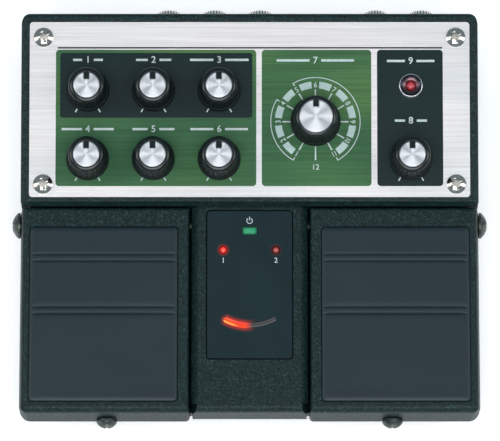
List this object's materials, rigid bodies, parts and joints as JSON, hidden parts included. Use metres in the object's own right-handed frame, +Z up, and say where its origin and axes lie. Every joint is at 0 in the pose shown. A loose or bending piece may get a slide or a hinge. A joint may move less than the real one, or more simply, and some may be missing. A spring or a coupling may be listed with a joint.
{
  "type": "tape echo pedal",
  "caption": "Floor-standing tape echo pedal: a sloping deck of turning dials and a mode selector behind sprung foot pedals with rubber pads, a lamp window and rear jack sockets",
  "frame": {"origin": "under the middle of the footprint, on the floor", "axes": "+X to the player's right, +Y to the rear jacks, +Z up"},
  "size_m": [0.1722, 0.1565, 0.057],
  "materials": {
    "cast_black": "dark green-grey textured paint",
    "plate_steel": "black painted sheet",
    "rubber_black": "matt",
    "pad_rubber": "smooth grey rubber",
    "panel_metal": "brushed across, with printed fields",
    "nickel": "nickel plated",
    "screw_black": "satin black",
    "chrome_bezel": "polished",
    "board_green": "printed circuit board",
    "control_metal": "pressed",
    "window_smoke": "smoked, satin",
    "lamp_red": "lit red lens",
    "lamp_green": "lit green lens",
    "guide_clear": "translucent, lit at the left",
    "jack_metal": "nickel plated",
    "moulded_black": "moulded",
    "cell_wrap": "plain wrapped cell",
    "bush_nylon": "nylon",
    "knob_black": "fluted",
    "cap_aluminium": "spun",
    "shaft_steel": "turned"
  },
  "bodies": {
    "chassis": {"housing": "cast_black", "base_plate": "plate_steel", "base_screws": "nickel", "rubber_feet": "rubber_black", "control_panel": "panel_metal", "panel_screws": "nickel", "main_board": "board_green", "pot_bodies": "control_metal", "mode_switch": "control_metal", "peak_led": "lamp_red", "peak_bezel": "chrome_bezel", "indicator_window": "window_smoke", "power_led": "lamp_green", "status_leds": "lamp_red", "light_guide": "guide_clear", "indicator_board": "board_green", "jack_sockets": "jack_metal", "jack_nuts": "nickel", "dc_socket": "moulded_black", "jack_board": "board_green", "battery_trays": "moulded_black", "battery_cells": "cell_wrap", "guide_bushes": "bush_nylon", "foot_switches": "moulded_black", "pivot_screws": "screw_black", "pivot_pins": "screw_black", "pedal_spring_left": "nickel", "pedal_spring_right": "nickel"},
    "pedal_left": {"pedal_left": "cast_black", "pad_left": "pad_rubber"},
    "thumbscrew_left": {"thumbscrew_left": "screw_black"},
    "plunger_left": {"plunger_left": "bush_nylon"},
    "pedal_right": {"pedal_right": "cast_black", "pad_right": "pad_rubber"},
    "thumbscrew_right": {"thumbscrew_right": "screw_black"},
    "plunger_right": {"plunger_right": "bush_nylon"},
    "bass_dial": {"bass_knob": "knob_black", "bass_cap": "cap_aluminium", "bass_shaft": "shaft_steel"},
    "treble_dial": {"treble_knob": "knob_black", "treble_cap": "cap_aluminium", "treble_shaft": "shaft_steel"},
    "reverb_dial": {"reverb_knob": "knob_black", "reverb_cap": "cap_aluminium", "reverb_shaft": "shaft_steel"},
    "rate_dial": {"rate_knob": "knob_black", "rate_cap": "cap_aluminium", "rate_shaft": "shaft_steel"},
    "intensity_dial": {"intensity_knob": "knob_black", "intensity_cap": "cap_aluminium", "intensity_shaft": "shaft_steel"},
    "echo_dial": {"echo_knob": "knob_black", "echo_cap": "cap_aluminium", "echo_shaft": "shaft_steel"},
    "input_dial": {"input_knob": "knob_black", "input_cap": "cap_aluminium", "input_shaft": "shaft_steel"},
    "mode_dial": {"mode_knob": "knob_black", "mode_cap": "cap_aluminium", "mode_shaft": "shaft_steel"}
  },
  "joints": [
    {"name": "pedal_left_press", "type": "hinge", "parent": "chassis", "child": "pedal_left", "pos_m": [0, -0.0039, 0.021], "axis": [1, 0, 0], "range_deg": [0, 2.5], "stiffness_Nm_per_rad": 10, "springref_deg": -2.86, "deforming": ["pedal_spring_left"]},
    {"name": "plunger_left_travel", "type": "slide", "parent": "chassis", "child": "plunger_left", "axis": [0, 0, -1], "range_m": [0, 0.0027]},
    {"name": "thumbscrew_left_draw", "type": "slide", "parent": "pedal_left", "child": "thumbscrew_left", "axis": [0, -1, 0], "range_m": [0, 0.005]},
    {"name": "pedal_right_press", "type": "hinge", "parent": "chassis", "child": "pedal_right", "pos_m": [0, -0.0039, 0.021], "axis": [1, 0, 0], "range_deg": [0, 2.5], "stiffness_Nm_per_rad": 10, "springref_deg": -2.86, "deforming": ["pedal_spring_right"]},
    {"name": "plunger_right_travel", "type": "slide", "parent": "chassis", "child": "plunger_right", "axis": [0, 0, -1], "range_m": [0, 0.0027]},
    {"name": "thumbscrew_right_draw", "type": "slide", "parent": "pedal_right", "child": "thumbscrew_right", "axis": [0, -1, 0], "range_m": [0, 0.005]},
    {"name": "bass_turn", "type": "hinge", "parent": "chassis", "child": "bass_dial", "pos_m": [-0.0585, 0.04099, 0.04133], "axis": [0, 0.1736, -0.9848], "range_deg": [-150, 150]},
    {"name": "treble_turn", "type": "hinge", "parent": "chassis", "child": "treble_dial", "pos_m": [-0.03475, 0.04099, 0.04133], "axis": [0, 0.1736, -0.9848], "range_deg": [-150, 150]},
    {"name": "reverb_turn", "type": "hinge", "parent": "chassis", "child": "reverb_dial", "pos_m": [-0.011, 0.04099, 0.04133], "axis": [0, 0.1736, -0.9848], "range_deg": [-150, 150]},
    {"name": "rate_turn", "type": "hinge", "parent": "chassis", "child": "rate_dial", "pos_m": [-0.0585, 0.01637, 0.03699], "axis": [0, 0.1736, -0.9848], "range_deg": [-150, 150]},
    {"name": "intensity_turn", "type": "hinge", "parent": "chassis", "child": "intensity_dial", "pos_m": [-0.03475, 0.01637, 0.03699], "axis": [0, 0.1736, -0.9848], "range_deg": [-150, 150]},
    {"name": "echo_turn", "type": "hinge", "parent": "chassis", "child": "echo_dial", "pos_m": [-0.011, 0.01637, 0.03699], "axis": [0, 0.1736, -0.9848], "range_deg": [-150, 150]},
    {"name": "input_turn", "type": "hinge", "parent": "chassis", "child": "input_dial", "pos_m": [0.0583, 0.01637, 0.03699], "axis": [0, 0.1736, -0.9848], "range_deg": [-150, 150]},
    {"name": "mode_turn", "type": "hinge", "parent": "chassis", "child": "mode_dial", "pos_m": [0.0238, 0.02986, 0.03937], "axis": [0, 0.1736, -0.9848], "range_deg": [-150, 180]}
  ],
  "couplings": [
    {"joint": "plunger_left_travel", "follows": "pedal_left_press", "m_per_rad": 0.0579},
    {"joint": "plunger_right_travel", "follows": "pedal_right_press", "m_per_rad": 0.0579}
  ]
}
